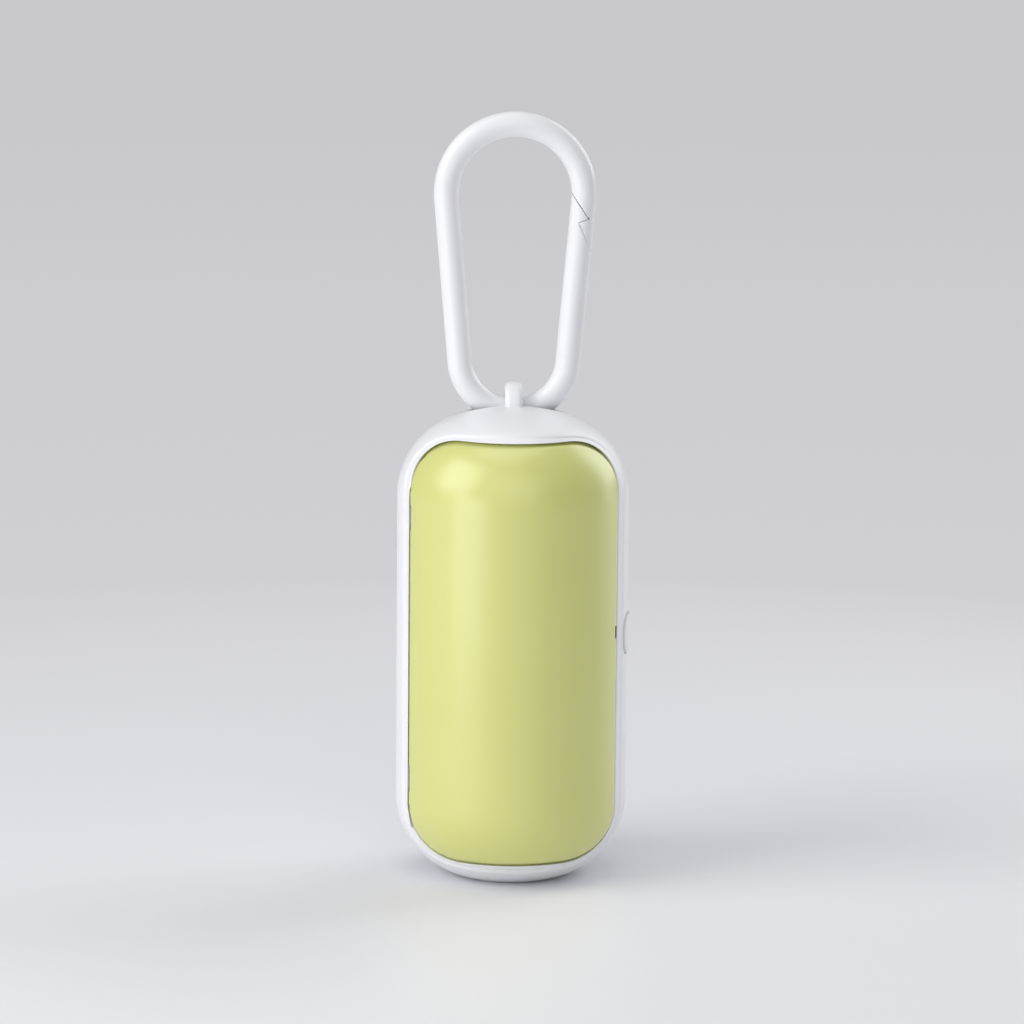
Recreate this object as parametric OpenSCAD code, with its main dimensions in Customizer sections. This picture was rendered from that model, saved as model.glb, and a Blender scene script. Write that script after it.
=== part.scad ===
// Capsule dispenser for rolls of waste bags, with a hinged front cover, a latch
// button and a one-piece clip. The case stands on z = 0, centred on the z axis,
// and its front faces -y. Lengths are in millimetres.

/* [Case] */
// Diameter of the case
case_d = 42; // [40:0.5:50]
// Height of the case from the flat foot to the top of the dome
case_h = 86; // [84:1:110]
// Radius of the rounded shoulders
shoulder_r = 15; // [14:0.5:16]
// Radius of the shallow dome at each end
crown_r = 30; // [28:1:40]
// Diameter of the flat foot it stands on
foot_d = 20; // [12:1:21]
// Thickness of the moulded case wall
case_wall = 1.8; // [1.4:0.1:2.2]
// How far in front of the axis the two case mouldings meet
seam_y = 2.2; // [2:0.1:3]
// How far the rear moulding's locating tongue reaches into the front one
tongue_l = 1.2; // [0.8:0.1:1.6]

/* [Front cover] */
// Width of the white rim on each side of the front opening, seen square on
rim_w = 2; // [1.5:0.1:3.5]
// Height of the white case left above and below the front opening
end_rim = 4.7; // [4.5:0.1:8]
// Corner radius of the front opening
opening_r = 9.3; // [6:0.1:12]
// Thickness of the cover
cover_wall = 1.6; // [1.2:0.1:2]
// How far the cover's face lies below the case's skin
cover_sink = 0.2; // [0.1:0.05:0.4]
// Gap beside the cover, seen square on
side_gap = 0.35; // [0.3:0.05:0.5]
// Gap above and below the cover
end_gap = 0.5; // [0.3:0.05:0.7]
// Width of the lowered lip round the opening
lip_w = 0.9; // [0.6:0.1:1.2]
// Depth of the lowered lip
lip_d = 0.25; // [0.15:0.05:0.4]

/* [Cover hinge] */
// Radius of the rolled edge that holds the hinge pins
barrel_r = 1.05; // [1:0.05:1.2]
// Diameter of the hinge pins
hinge_pin_d = 1; // [0.8:0.1:1.2]
// Length of each hinge pin
hinge_pin_l = 9; // [7:0.5:12]
// Height of each ear on the case
ear_h = 4; // [3:0.5:6]
// Distance of each ear from the end of the cover's straight edge
ear_inset = 3; // [2:0.5:6]

/* [Latch] */
// Height of the button's centre
button_z = 45; // [38:1:55]
// Width of the button, round the case
button_w = 8.4; // [7:0.2:9]
// Height of the button
button_h = 7; // [6:0.5:9]
// How far the button stands proud of the case
button_proud = 0.35; // [0.2:0.05:0.5]
// How far the button is pushed in
button_travel = 0.8; // [0.6:0.05:0.9]
// Height of the tongue on the cover that the button catches
catch_h = 5; // [4:0.5:5.5]
// Thickness of that tongue
catch_t = 1.1; // [0.9:0.1:1.2]
// Outer diameter of the button spring
spring_d = 3; // [2.4:0.2:3.4]
// Wire diameter of the button spring
spring_wire = 0.35; // [0.25:0.05:0.45]
// Number of turns in the button spring
spring_turns = 4; // [3:1:5]
// Height of the nail notch in the cover's edge
notch_h = 3.2; // [2:0.2:5]
// Depth of the nail notch
notch_d = 0.45; // [0.3:0.05:0.8]

/* [Hanging eye] */
// How far behind the axis the eye's hole lies
eye_y = 3.4; // [3.2:0.1:4]
// Depth of the hole's centre below the top of the dome
eye_depth = 1.4; // [1:0.1:2]
// Thickness of the eye's ring, from its hole to its rim
eye_ring = 2.6; // [2:0.1:3]
// Width of the eye across the case
eye_w = 3.6; // [3:0.1:5]
// Radius of the rounded edges of the eye
eye_edge_r = 0.7; // [0.3:0.1:1]
// Length of the pocket that the clip dips into
pocket_l = 17.6; // [17:0.2:20]
// Width of the pocket that the clip dips into
pocket_w = 6.6; // [6.4:0.1:7]
// Thickness of the pocket's walls and floor
pocket_wall = 1.3; // [1:0.1:1.6]

/* [Clip] */
// Diameter of the clip's round section
clip_d = 4.6; // [4:0.1:5]
// Centreline radius of the small bend, through the eye
clip_small_r = 9.8; // [9:0.1:11]
// Centreline radius of the large bend
clip_large_r = 12.4; // [11.5:0.1:16]
// Distance between the centres of the two bends
clip_pitch = 29.8; // [26:0.2:50]
// Distance of the gate's bending point above the small bend
gate_root = 3.2; // [2.6:0.1:5]
// Distance of the hook's barb above the small bend
hook_u = 26.4; // [24:0.1:27]
// Gap left all along the hooked joint of the gate
hook_gap = 0.25; // [0.15:0.05:0.3]

/* [Bag roll] */
// Diameter of a full roll of bags
roll_d = 27; // [22:0.5:27]
// Length of the roll
roll_l = 58; // [50:0.5:58]
// Outer diameter of the cardboard core
core_d = 13; // [11:0.5:16]
// Thickness of the cardboard core
core_wall = 1; // [0.6:0.1:1.4]
// Diameter of the spindle's journals
journal_d = 5; // [4:0.5:6]
// Thickness of the two shelves that carry the spindle
shelf_t = 1.8; // [1.4:0.1:2.4]
// Diameter of the spindle's two end discs
disc_d = 20; // [16:0.5:24]
// Thickness of the end discs
disc_t = 1.2; // [0.8:0.1:1.6]
// Thickness of a folded strip of bags
strip_t = 0.5; // [0.3:0.1:0.8]

/* [Bag outlet] */
// Width of the outlet opening in the back
outlet_w = 9; // [7:0.5:11]
// Height of the outlet opening
outlet_h = 32; // [24:1:40]
// Width of the slit in the soft outlet ring
slit_w = 4.2; // [4.1:0.1:5]
// Height of that slit
slit_h = 25; // [18:1:27]
// How far the soft ring's inner flange overlaps the case
flange_w = 1.4; // [1:0.1:2]

/* [Fits] */
// Radial clearance of parts that turn on each other
run_gap = 0.08; // [0.05:0.01:0.1]
// Clearance of parts that slide past each other
slide_gap = 0.25; // [0.2:0.05:0.35]
// Clearance between surfaces that are held together
seat_gap = 0.05; // [0.02:0.01:0.1]

/* [Hidden] */
$fn = 96;
skin_fine = 96;
wall_fine = 48;
trim_fine = 24;
arc_step = 15;
eps = 0.01;
past = 1;
deep = 3;

// Case outline: straight side, shoulder arc, shallow crown arc, flat foot
case_r = case_d / 2;
foot_r = foot_d / 2;
shoulder_x = case_r - shoulder_r;
shoulder_dz = sqrt(pow(crown_r - shoulder_r, 2) - pow(shoulder_x, 2));
shoulder_a = acos(shoulder_x / (crown_r - shoulder_r));
top_crown_z = case_h - crown_r;
foot_crown_z = sqrt(pow(crown_r, 2) - pow(foot_r, 2));
top_shoulder_z = top_crown_z + shoulder_dz;
low_shoulder_z = foot_crown_z - shoulder_dz;
case_in = case_r - case_wall;
mid_z = case_h / 2;

// Opening and cover: side edges are radial, so they are given by their angle
opening_w = case_d - 2 * rim_w;
opening_h = case_h - 2 * end_rim;
opening_a = asin(opening_w / 2 / case_r);
cover_out = case_r - cover_sink;
cover_w = opening_w - 2 * side_gap;
cover_h = opening_h - 2 * end_gap;
cover_a = asin(cover_w / 2 / cover_out);

// Hinge axis: the rolled edge lies a hair below the cover's face
barrel_sink = 0.04;
relief_gap = 0.3;
hinge_r = cover_out - barrel_r - barrel_sink;
hinge_x = -cover_w / 2 + barrel_r;
hinge_y = -sqrt(pow(hinge_r, 2) - pow(hinge_x, 2));
hinge_a = atan(hinge_x / hinge_y);
barrel_z0 = mid_z - opening_h / 2 + opening_r;
barrel_z1 = mid_z + opening_h / 2 - opening_r;
relief_r = barrel_r + relief_gap;
relief_run = 3.4;
ear_r = barrel_r - 0.1;
ear_web_l = 2.4;
ear_web_sink = 0.3;
ear_web_in = 0.62;
low_ear_z = barrel_z0 + ear_inset;
high_ear_z = barrel_z1 - ear_inset - ear_h;

// Latch: cap in the wall, flange behind it, plate with a window for the catch
cap_out = case_r + button_proud;
flange_out = case_in - slide_gap;
flange_t = 0.9;
flange_over = 0.9;
cap_in = flange_out - flange_t;
cap_corner = 2.4;
window_w = button_w + 2 * slide_gap;
window_h = button_h + 2 * slide_gap;
plate_y1 = -seam_y - button_w / 4;
plate_t = 1.2;
plate_y0 = plate_y1 - plate_t;
catch_inset = 0.65;
catch_x1 = case_in * sin(opening_a) - catch_inset;
catch_x0 = catch_x1 - catch_t;
catch_bite = 0.65;
catch_hold = 0.4;
bar_t = 0.95;
bar_x1 = catch_x0 - catch_bite + catch_hold;
plate_window_x1 = catch_x1 + button_travel + slide_gap;
catch_head = 1;
catch_y1 = plate_y1 + slide_gap + catch_head;
spring_y = 0.6;
spring_len = 3.1;
bracket_x1 = cap_in - spring_len - seat_gap;
bracket_t = 0.7;
bracket_w = 3.2;
bracket_gap = window_h / 2 + flange_over + slide_gap;
rib_t = 0.8;
notch_up = 0.5;

// Hanging eye and its pocket
clip_r = clip_d / 2;
eye_play = 0.45;
pocket_play = 0.1;
eye_hole_r = clip_r + eye_play;
eye_r = eye_hole_r + eye_ring;
eye_z = case_h - eye_depth;
pocket_z = eye_z - eye_hole_r - pocket_play;

// Clip centreline: two bends joined by straight legs, upright in the xz plane
small_z = eye_z + clip_small_r;
large_z = small_z + clip_pitch;
leg_a = asin((clip_large_r - clip_small_r) / clip_pitch);
leg_l = sqrt(pow(clip_pitch, 2) - pow(clip_large_r - clip_small_r, 2));
hook_barb = 0.52 * clip_r;
hook_back = -0.26 * clip_r;
hook_drop = 0.8;
hook_slope_in = 1.23;
hook_slope_out = 1.76;
hook_reach = 1.2;
leg_step = 0.01;
leg_lap = 0.3;

// Roll, spindle and shelves, stacked about the middle of the case
roll_r = roll_d / 2;
roll_z0 = mid_z - roll_l / 2;
roll_z1 = mid_z + roll_l / 2;
disc_seat = 0.3;
low_disc_z = roll_z0 - disc_seat - disc_t;
high_disc_z = roll_z1 + disc_seat;
low_shelf_z = low_disc_z - disc_seat - shelf_t;
high_shelf_z = high_disc_z + disc_t + disc_seat;
journal_r = journal_d / 2;
journal_end = 0.6;
shaft_r = core_d / 2 - core_wall - seat_gap;
mouth_w = journal_d * 0.92;
disc_hole_r = disc_d / 12;
disc_hole_at = disc_d * 0.34;
roll_inset = 0.5;

// Outlet
ring_sink = 0.15;
flange_depth = 1.2;
outlet_y = case_in - flange_depth;
strip_play = 0.5;
strip_h = slit_h - 2 * strip_play;
strip_gap = 0.3;
strip_start_a = 20;
strip_r = roll_r + strip_gap + strip_t / 2;
strip_leave_a = 50;
strip_bend_r = 3;
strip_start = [strip_r * cos(strip_leave_a), strip_r * sin(strip_leave_a)];
strip_turn_x = strip_bend_r * (1 - cos(strip_leave_a));
strip_run = (strip_start.x - strip_turn_x) / sin(strip_leave_a);
strip_bend_y = strip_start.y + strip_run * cos(strip_leave_a) + strip_bend_r * sin(strip_leave_a);
strip_end_y = case_r - strip_play;

// ---- shared shapes ----

// Points along an arc from angle a0 to a1
function arc(cx, cy, r, a0, a1) =
    let (n = ceil(abs(a1 - a0) / arc_step))
    [for (i = [0:n]) let (a = a0 + (a1 - a0) * i / n) [cx + r * cos(a), cy + r * sin(a)]];

// Half outline of the case, moved inwards by "inset"
module case_outline(inset) {
    crown = crown_r - inset;
    shoulder = shoulder_r - inset;
    meet_x = crown * cos(shoulder_a);
    side_h = top_shoulder_z - low_shoulder_z;
    translate([0, low_shoulder_z]) square([case_r - inset, side_h]);
    intersection() {
        union() {
            for (z = [low_shoulder_z, top_shoulder_z]) translate([shoulder_x, z]) circle(shoulder);
            intersection() {
                translate([0, top_crown_z]) circle(crown);
                translate([0, mid_z]) square([meet_x, case_h]);
            }
            intersection() {
                translate([0, foot_crown_z]) circle(crown);
                translate([0, mid_z - case_h]) square([meet_x, case_h]);
            }
        }
        translate([0, inset]) square([case_d, case_h]);
    }
}

module case_solid(inset = 0, fine = skin_fine) {
    rotate_extrude() case_outline(inset, $fn = fine);
}

module case_skin(out, in) {
    difference() {
        case_solid(out);
        case_solid(in, wall_fine);
    }
}

// Upright rounded rectangle, cut from the axis to past the front of the case
module front_prism(w, h, r) {
    translate([0, 0, mid_z]) rotate([90, 0, 0]) linear_extrude(case_d) rounded_rect(w, h, r);
}

module rounded_rect(w, h, r) {
    square([w - 2 * r, h], center = true);
    square([w, h - 2 * r], center = true);
    for (sx = [-1, 1], sz = [-1, 1])
        translate([sx * (w / 2 - r), sz * (h / 2 - r)]) circle(r);
}

// Slot with round ends, w across by h long
module slot2d(w, h) {
    square([w, h - w], center = true);
    for (s = [-1, 1]) translate([0, s * (h - w) / 2]) circle(w / 2);
}

// Wedge in front of the axis between two angles either side of straight ahead
module front_sector(left_a, right_a) {
    reach = case_d * 3;
    linear_extrude(case_h) polygon([
        [0, 0],
        [-reach * sin(left_a), -reach * cos(left_a)],
        [reach * sin(right_a), -reach * cos(right_a)]]);
}

module half_space(front) {
    size = case_h * 2;
    translate([-size / 2, front ? -seam_y - size : -seam_y, -size / 4]) cube(size);
}

module rod(r, p0, l) {
    translate(p0) cylinder(r = r, h = l);
}

// Box of the button's outline, through the right-hand wall
module button_prism(w, h, corner, x0, x1) {
    translate([x0, -seam_y, button_z]) rotate([90, 0, 90])
        linear_extrude(x1 - x0) rounded_rect(w, h, corner);
}

// ---- case ----

module shelf(z) {
    difference() {
        translate([-case_r, -seam_y, z]) cube([case_d, case_r + seam_y, shelf_t]);
        rod(journal_r + run_gap, [0, 0, z - eps], shelf_t + 2 * eps);
        translate([-mouth_w / 2, -seam_y - eps, z - eps])
            cube([mouth_w, seam_y, shelf_t + 2 * eps]);
    }
}

module clip_pocket(grow, floor_z, top_z) {
    translate([0, eye_y, floor_z]) linear_extrude(top_z - floor_z) rotate(90)
        slot2d(pocket_w + 2 * grow, pocket_l + 2 * grow);
}

module eye_ring_solid() {
    inner = eye_hole_r;
    half = eye_w / 2;
    e = eye_edge_r;
    ring = concat(
        arc(inner + e, -half + e, e, 180, 270),
        arc(eye_r - e, -half + e, e, 270, 360),
        arc(eye_r - e, half - e, e, 0, 90),
        arc(inner + e, half - e, e, 90, 180));
    translate([0, eye_y, eye_z]) rotate([0, 90, 0]) rotate_extrude() polygon(ring);
}

module spring_bracket() {
    for (s = [-1, 1])
        translate([bracket_x1 - bracket_t, spring_y - bracket_w / 2,
                   button_z + s * (bracket_gap + rib_t / 2) - rib_t / 2])
            cube([case_r - bracket_x1, bracket_w, rib_t]);
    translate([bracket_x1 - bracket_t, spring_y - bracket_w / 2, button_z - bracket_gap - eps])
        cube([bracket_t, bracket_w, 2 * bracket_gap + 2 * eps]);
}

module outlet_cut(w, h, y0, y1) {
    translate([0, y0, mid_z]) rotate([-90, 0, 0]) linear_extrude(y1 - y0) slot2d(w, h);
}

module rear_shell() {
    color("white") union() {
        difference() {
            union() {
                intersection() {
                    case_skin(0, case_wall);
                    half_space(false);
                }
                // tongue that locates the front moulding
                intersection() {
                    case_skin(case_wall / 2, case_wall);
                    translate([-case_r, -seam_y - tongue_l, 0]) cube([case_d, tongue_l + past, case_h]);
                }
                intersection() {
                    union() {
                        clip_pocket(pocket_wall, pocket_z - pocket_wall, case_h);
                        spring_bracket();
                        shelf(low_shelf_z);
                        shelf(high_shelf_z);
                    }
                    case_solid(case_wall / 2, trim_fine);
                }
            }
            clip_pocket(0, pocket_z, case_h + past);
            button_prism(window_w, window_h, cap_corner + slide_gap, case_in - deep, case_r + past);
            outlet_cut(outlet_w, outlet_h, case_in - deep, case_r + past);
        }
        eye_ring_solid();
    }
}

module hinge_ear(z) {
    difference() {
        union() {
            rod(ear_r, [hinge_x, hinge_y, z], ear_h);
            // web from the ear back into the case wall
            rotate([0, 0, -hinge_a])
                translate([-ear_web_l, -hinge_r - ear_r + ear_web_sink, z])
                cube([ear_web_l - ear_web_in, 2 * (ear_r - ear_web_sink), ear_h]);
        }
        rod(hinge_pin_d / 2 + seat_gap / 2, [hinge_x, hinge_y, z - eps], ear_h + 2 * eps);
    }
}

module front_frame() {
    color("white") union() {
        difference() {
            intersection() {
                case_skin(0, case_wall);
                half_space(true);
            }
            // opening, with radial side walls
            intersection() {
                front_prism(opening_w, opening_h, opening_r);
                front_sector(opening_a, opening_a);
            }
            // lowered lip round the opening
            difference() {
                front_prism(opening_w + 2 * lip_w, opening_h + 2 * lip_w, opening_r + lip_w);
                case_solid(lip_d);
            }
            // room for the cover's rolled edge
            rod(relief_r, [hinge_x, hinge_y, barrel_z0 - relief_run],
                barrel_z1 - barrel_z0 + 2 * relief_run);
            // rebate for the rear moulding's tongue
            intersection() {
                case_skin(case_wall / 2 - seat_gap, case_wall + past);
                translate([-case_r, -seam_y - tongue_l - seat_gap, 0])
                    cube([case_d, tongue_l + past, case_h]);
            }
            button_prism(window_w, window_h, cap_corner + slide_gap, case_in - deep, case_r + past);
        }
        hinge_ear(low_ear_z);
        hinge_ear(high_ear_z);
    }
}

module outlet_ring() {
    color("yellowgreen") difference() {
        union() {
            intersection() {
                outlet_cut(outlet_w - 2 * seat_gap, outlet_h - 2 * seat_gap, outlet_y, case_r);
                case_solid(ring_sink);
            }
            intersection() {
                outlet_cut(outlet_w + 2 * flange_w, outlet_h + 2 * flange_w, outlet_y, case_r);
                case_solid(case_wall + seat_gap);
            }
        }
        outlet_cut(slit_w, slit_h, outlet_y - past, case_r + past);
    }
}

// ---- cover ----

module front_cover() {
    color("yellowgreen") difference() {
        union() {
            intersection() {
                case_skin(cover_sink, cover_sink + cover_wall);
                front_prism(cover_w, cover_h, opening_r - side_gap);
                front_sector(hinge_a, cover_a);
            }
            rod(barrel_r, [hinge_x, hinge_y, barrel_z0 + slide_gap],
                barrel_z1 - barrel_z0 - 2 * slide_gap);
            catch_tongue();
        }
        for (z = [low_ear_z, high_ear_z])
            rod(ear_r + slide_gap, [hinge_x, hinge_y, z - slide_gap], ear_h + 2 * slide_gap);
        rod(hinge_pin_d / 2 + run_gap, [hinge_x, hinge_y, barrel_z0],
            low_ear_z - barrel_z0 + hinge_pin_l);
        rod(hinge_pin_d / 2 + run_gap, [hinge_x, hinge_y, high_ear_z + ear_h - hinge_pin_l],
            barrel_z1 - high_ear_z - ear_h + hinge_pin_l);
        // nail notch in the free edge
        translate([cover_w / 2 - notch_d, -case_r, button_z + notch_up - notch_h / 2])
            cube([notch_d + past, case_r, notch_h]);
    }
}

module catch_tongue() {
    intersection() {
        translate([catch_x0, catch_y1 - case_r, button_z - catch_h / 2])
            cube([catch_t, case_r, catch_h]);
        rod(case_r - cover_sink - cover_wall / 2, [0, 0, 0], case_h);
    }
    // barb behind the button's bar, sloped so that it snaps past
    translate([0, 0, button_z - catch_h / 2]) linear_extrude(catch_h) polygon([
        [catch_x0 + eps, plate_y1 + slide_gap],
        [catch_x0 - catch_bite, plate_y1 + slide_gap],
        [catch_x0 + eps, catch_y1]]);
}

// ---- hinge pins ----

module hinge_pin(ear_z) {
    color("silver")
        rod(hinge_pin_d / 2, [hinge_x, hinge_y, ear_z + ear_h / 2 - hinge_pin_l / 2], hinge_pin_l);
}

module upper_hinge_pin() {
    hinge_pin(high_ear_z);
}

module lower_hinge_pin() {
    hinge_pin(low_ear_z);
}

// ---- latch ----

module release_button() {
    color("white") difference() {
        union() {
            // cap, flush in the window but for its proud face
            intersection() {
                difference() {
                    case_solid(-button_proud);
                    case_solid(case_r - cap_in);
                }
                button_prism(button_w, button_h, cap_corner, cap_in - deep, cap_out + past);
            }
            // flange behind the wall
            intersection() {
                difference() {
                    case_solid(case_r - flange_out);
                    case_solid(case_r - cap_in);
                }
                button_prism(window_w + 2 * flange_over, window_h + 2 * flange_over,
                             cap_corner, cap_in - deep - past, cap_out);
            }
            // plate that reaches in to the catch
            intersection() {
                translate([bar_x1 - bar_t, plate_y0, button_z - window_h / 2])
                    cube([case_r - bar_x1, plate_t, window_h]);
                case_solid(case_r - flange_out);
            }
        }
        // window for the cover's tongue, open at the front
        translate([bar_x1, -case_r, button_z - catch_h / 2 - slide_gap])
            cube([plate_window_x1 - bar_x1, case_r + plate_y1 + eps, catch_h + 2 * slide_gap]);
    }
}

// Coil spring swept as one polyhedron along a helix whose axis is x
module button_spring() {
    coil_r = (spring_d - spring_wire) / 2;
    sides = 8;
    steps = 16;
    count = spring_turns * steps;
    pitch = (spring_len - spring_wire) / spring_turns;
    function at(t) = [bracket_x1 + seat_gap / 2 + spring_wire / 2 + pitch * t,
                      spring_y + coil_r * cos(360 * t), button_z + coil_r * sin(360 * t)];
    points = [for (i = [0:count], j = [0:sides - 1])
        let (t = i / steps, a = 360 * j / sides, out = [0, cos(360 * t), sin(360 * t)])
        at(t) + spring_wire / 2 * (cos(a) * out + sin(a) * [1, 0, 0])];
    walls = [for (i = [0:count - 1], j = [0:sides - 1])
        let (k = (j + 1) % sides)
        [i * sides + j, i * sides + k, (i + 1) * sides + k, (i + 1) * sides + j]];
    caps = [[for (j = [sides - 1:-1:0]) j], [for (j = [0:sides - 1]) count * sides + j]];
    color("silver") polyhedron(points, concat(walls, caps));
}

// ---- spindle and bags ----

module spindle_shaft() {
    z0 = low_shelf_z - journal_end;
    z1 = high_shelf_z + shelf_t + journal_end;
    color("gainsboro") union() {
        rod(journal_r, [0, 0, z0], z1 - z0);
        rod(shaft_r, [0, 0, low_disc_z + disc_t + seat_gap],
            high_disc_z - low_disc_z - disc_t - 2 * seat_gap);
    }
}

module spindle_disc(z) {
    color("gainsboro") difference() {
        rod(disc_d / 2, [0, 0, z], disc_t);
        rod(journal_r + seat_gap / 2, [0, 0, z - eps], disc_t + 2 * eps);
        for (a = [0:60:300])
            rotate(a) rod(disc_hole_r, [disc_hole_at, 0, z - eps], disc_t + 2 * eps);
    }
}

module lower_disc() {
    spindle_disc(low_disc_z);
}

module upper_disc() {
    spindle_disc(high_disc_z);
}

module roll_core() {
    color("tan") difference() {
        rod(core_d / 2, [0, 0, roll_z0], roll_l);
        rod(core_d / 2 - core_wall, [0, 0, roll_z0 - eps], roll_l + 2 * eps);
    }
}

module bag_roll() {
    color("palegreen") difference() {
        rod(roll_r, [0, 0, roll_z0 + roll_inset], roll_l - 2 * roll_inset);
        rod(core_d / 2 + seat_gap, [0, 0, roll_z0], roll_l);
    }
}

// One side of the bags' free end: round the roll, straight to the outlet, out
function strip_side(off) = concat(
    arc(0, 0, strip_r + off, strip_start_a, strip_leave_a),
    arc(strip_bend_r, strip_bend_y, strip_bend_r - off, 180 + strip_leave_a, 180),
    [[off, strip_end_y]]);

module bag_strip() {
    right = strip_side(strip_t / 2);
    left = strip_side(-strip_t / 2);
    color("palegreen") translate([0, 0, mid_z - strip_h / 2]) linear_extrude(strip_h)
        polygon(concat(right, [for (i = [len(left) - 1:-1:0]) left[i]]));
}

// ---- clip ----

module clip_bend(r, z, a0, a1) {
    translate([0, 0, z]) rotate([90, 0, 0]) rotate([0, 0, a0])
        rotate_extrude(angle = a1 - a0) translate([r, 0]) circle(clip_r);
}

// Frame of the right-hand leg: x across, outwards; z along it, upwards
module at_leg() {
    translate([clip_small_r * cos(leg_a), 0, small_z - clip_small_r * sin(leg_a)])
        rotate([0, leg_a, 0]) children();
}

module leg(z0, z1) {
    translate([0, 0, z0]) cylinder(r = clip_r - leg_step, h = z1 - z0);
}

// Everything on the gate's side of the hooked joint, drawn across the leg
module hook_side(shift) {
    far = clip_d;
    top = hook_u + (hook_barb + far) * hook_slope_in;
    low = hook_u - hook_drop - (far - hook_back) * hook_slope_out;
    translate([-shift, far, 0]) rotate([90, 0, 0]) linear_extrude(2 * far)
        polygon([[-far, 0], [-far, top], [hook_barb, hook_u], [hook_back, hook_u - hook_drop],
                 [far, low], [far, 0]]);
}

module gate_root_disc(r) {
    translate([0, clip_d, gate_root]) rotate([90, 0, 0]) cylinder(r = r, h = 2 * clip_d);
}

module clip_body() {
    color("white") translate([0, eye_y, 0]) union() {
        clip_bend(clip_small_r, small_z, 180 + leg_a, 360 - leg_a);
        mirror([1, 0, 0]) at_leg() leg(-leg_lap, leg_l + leg_lap);
        at_leg() difference() {
            leg(-leg_lap, gate_root);
            gate_root_disc(clip_r + run_gap);
        }
        difference() {
            union() {
                clip_bend(clip_large_r, large_z, -leg_a, 180 + leg_a);
                at_leg() leg(gate_root + clip_d, leg_l + leg_lap);
            }
            at_leg() hook_side(-hook_gap / 2);
        }
    }
}

module clip_gate() {
    color("white") translate([0, eye_y, 0]) at_leg() union() {
        intersection() {
            leg(gate_root, leg_l + hook_reach);
            hook_side(hook_gap / 2);
        }
        intersection() {
            leg(0, gate_root + eps);
            gate_root_disc(clip_r);
        }
    }
}

rear_shell();
front_frame();
front_cover();
upper_hinge_pin();
lower_hinge_pin();
release_button();
button_spring();
outlet_ring();
spindle_shaft();
lower_disc();
upper_disc();
roll_core();
bag_roll();
bag_strip();
clip_body();
clip_gate();
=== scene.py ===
# %% [markdown]
# # Capsule dispenser for rolls of waste bags
# The construction model is loaded first and stays as it is: it says where every
# piece lies and which body carries it. Blender then gives each piece its final
# surface. Blender's lengths are metres, and the sizes below are millimetres, so
# every size is multiplied by MM where it reaches Blender.

# %% Load the construction model
import math

import bpy
from mathutils import Matrix, Vector


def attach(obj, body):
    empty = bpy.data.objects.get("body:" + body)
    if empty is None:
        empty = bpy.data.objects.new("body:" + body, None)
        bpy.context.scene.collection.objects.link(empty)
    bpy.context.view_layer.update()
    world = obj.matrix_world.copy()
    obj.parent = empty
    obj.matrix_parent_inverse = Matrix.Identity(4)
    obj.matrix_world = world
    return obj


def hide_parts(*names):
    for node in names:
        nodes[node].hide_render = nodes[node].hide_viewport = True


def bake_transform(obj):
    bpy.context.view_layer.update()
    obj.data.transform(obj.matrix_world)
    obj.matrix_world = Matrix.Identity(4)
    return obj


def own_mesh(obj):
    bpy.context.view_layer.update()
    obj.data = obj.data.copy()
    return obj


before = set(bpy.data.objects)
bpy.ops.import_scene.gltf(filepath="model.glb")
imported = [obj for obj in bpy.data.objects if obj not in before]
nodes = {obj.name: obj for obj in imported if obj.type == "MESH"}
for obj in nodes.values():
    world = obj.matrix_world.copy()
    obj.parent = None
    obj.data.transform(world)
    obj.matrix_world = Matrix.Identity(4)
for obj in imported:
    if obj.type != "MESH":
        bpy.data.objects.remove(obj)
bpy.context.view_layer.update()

MM = 0.001

# %% [markdown]
# Every helper starts from a clean selection, because an operator acts on all
# that is selected and the loaded model arrives selected. Modifiers are applied
# at once, so that each finished piece is a plain mesh that sits at the origin.
# They could stay live, but then every later step would see the unfinished mesh.

# %% Helpers for selecting
def only(obj):
    """Select this object alone and make it active."""
    if bpy.context.mode != "OBJECT":
        bpy.ops.object.mode_set(mode="OBJECT")
    bpy.ops.object.select_all(action="DESELECT")
    obj.select_set(True)
    bpy.context.view_layer.objects.active = obj


def edit(obj, mode="VERT"):
    """Enter edit mode with nothing selected."""
    only(obj)
    bpy.ops.object.mode_set(mode="EDIT")
    bpy.ops.mesh.select_mode(type=mode)
    bpy.ops.mesh.select_all(action="DESELECT")


def edit_all(obj):
    """Enter edit mode with everything selected."""
    edit(obj)
    bpy.ops.mesh.select_all(action="SELECT")


print("selecting: only, edit, edit_all")


# %% Helpers for meshes
def weld(distance=0.001):
    """In edit mode, merge all points that lie this close together, in mm."""
    bpy.ops.mesh.select_all(action="SELECT")
    bpy.ops.mesh.remove_doubles(threshold=distance * MM)


def faces_out(obj):
    """Turn all faces of a closed mesh outwards."""
    edit_all(obj)
    bpy.ops.mesh.normals_make_consistent(inside=False)
    bpy.ops.object.mode_set(mode="OBJECT")
    return obj


def mesh_piece(name, points, faces):
    """Closed piece from points in metres and the faces between them."""
    mesh = bpy.data.meshes.new(name)
    mesh.from_pydata(points, [], faces)
    obj = bpy.data.objects.new(name, mesh)
    bpy.context.collection.objects.link(obj)
    return faces_out(obj)


def named(name):
    """Name the primitive that was just added and place it in its mesh."""
    obj = bpy.context.active_object
    obj.name = obj.data.name = name
    only(obj)
    bpy.ops.object.transform_apply(location=True, rotation=True, scale=True)
    return obj


print("meshes: weld, faces_out, mesh_piece, named")


# %% Helpers for finishing
def apply(obj, kind, name, **settings):
    """Add a modifier, set it and apply it."""
    only(obj)
    mod = obj.modifiers.new(name, kind)
    for key, value in settings.items():
        setattr(mod, key, value)
    bpy.ops.object.modifier_apply(modifier=mod.name)


def soften(obj, name, width, segments, **settings):
    """Round the sharp edges of a piece by a width in mm."""
    apply(obj, "BEVEL", name, width=width * MM, segments=segments, limit_method="ANGLE", **settings)


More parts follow.
